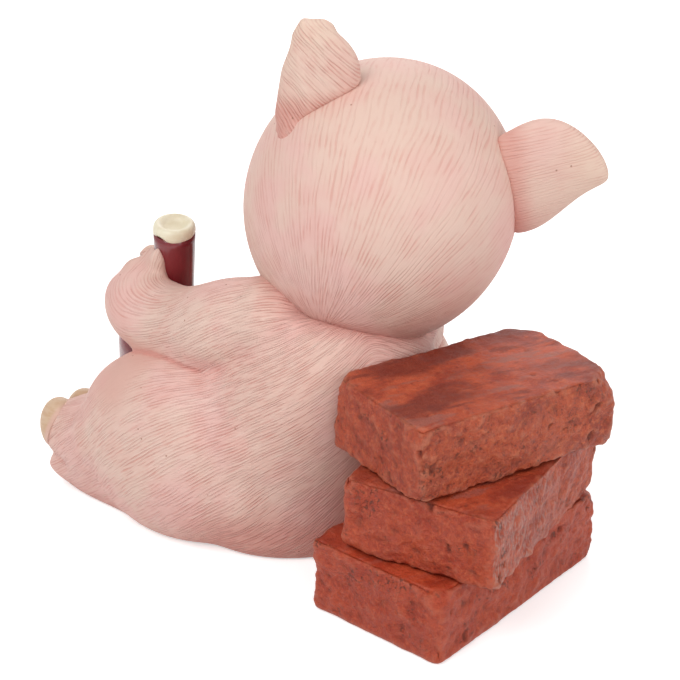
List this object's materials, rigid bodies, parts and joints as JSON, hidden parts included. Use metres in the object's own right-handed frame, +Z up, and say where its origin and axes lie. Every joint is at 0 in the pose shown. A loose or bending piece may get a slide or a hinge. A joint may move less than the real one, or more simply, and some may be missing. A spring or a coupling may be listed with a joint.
{
  "type": "pig figurine",
  "caption": "Seated pig ornament in painted cast resin that leans on a pile of rough red bricks, tilts its head and hugs a dark red bottle; it stands free on a shelf.",
  "frame": {"origin": "on the ground, at the middle of the torso's flat seat", "axes": "the pig faces -Y, its left side is +X and +Z is up, out of the seat"},
  "size_m": [0.0921, 0.1152, 0.1098],
  "materials": {
    "skin": "matt painted resin with a pink wash in the carved hair",
    "hoof": "satin cream paint with an ochre wash",
    "eye": "gloss black paint",
    "bottle": "gloss dark red paint",
    "cork": "satin cream paint",
    "brick": "matt red paint with dark pits and grey drybrushing",
    "steel": "plain steel dowel"
  },
  "bodies": {
    "root": {"torso": "skin", "head": "skin", "left_ear": "skin", "right_ear": "skin", "left_eye": "eye", "right_eye": "eye", "snout": "skin", "left_leg": "skin", "right_leg": "skin", "left_foot_outer_hoof": "hoof", "left_foot_inner_hoof": "hoof", "right_foot_outer_hoof": "hoof", "right_foot_inner_hoof": "hoof", "left_arm": "skin", "right_arm": "skin", "left_hand_outer_hoof": "hoof", "left_hand_inner_hoof": "hoof", "right_hand_outer_hoof": "hoof", "right_hand_inner_hoof": "hoof", "bottle": "bottle", "bottle_cork": "cork", "bottom_brick": "brick", "middle_brick": "brick", "top_brick": "brick", "brick_pins": "steel", "back_pin": "steel"}
  },
  "joints": []
}
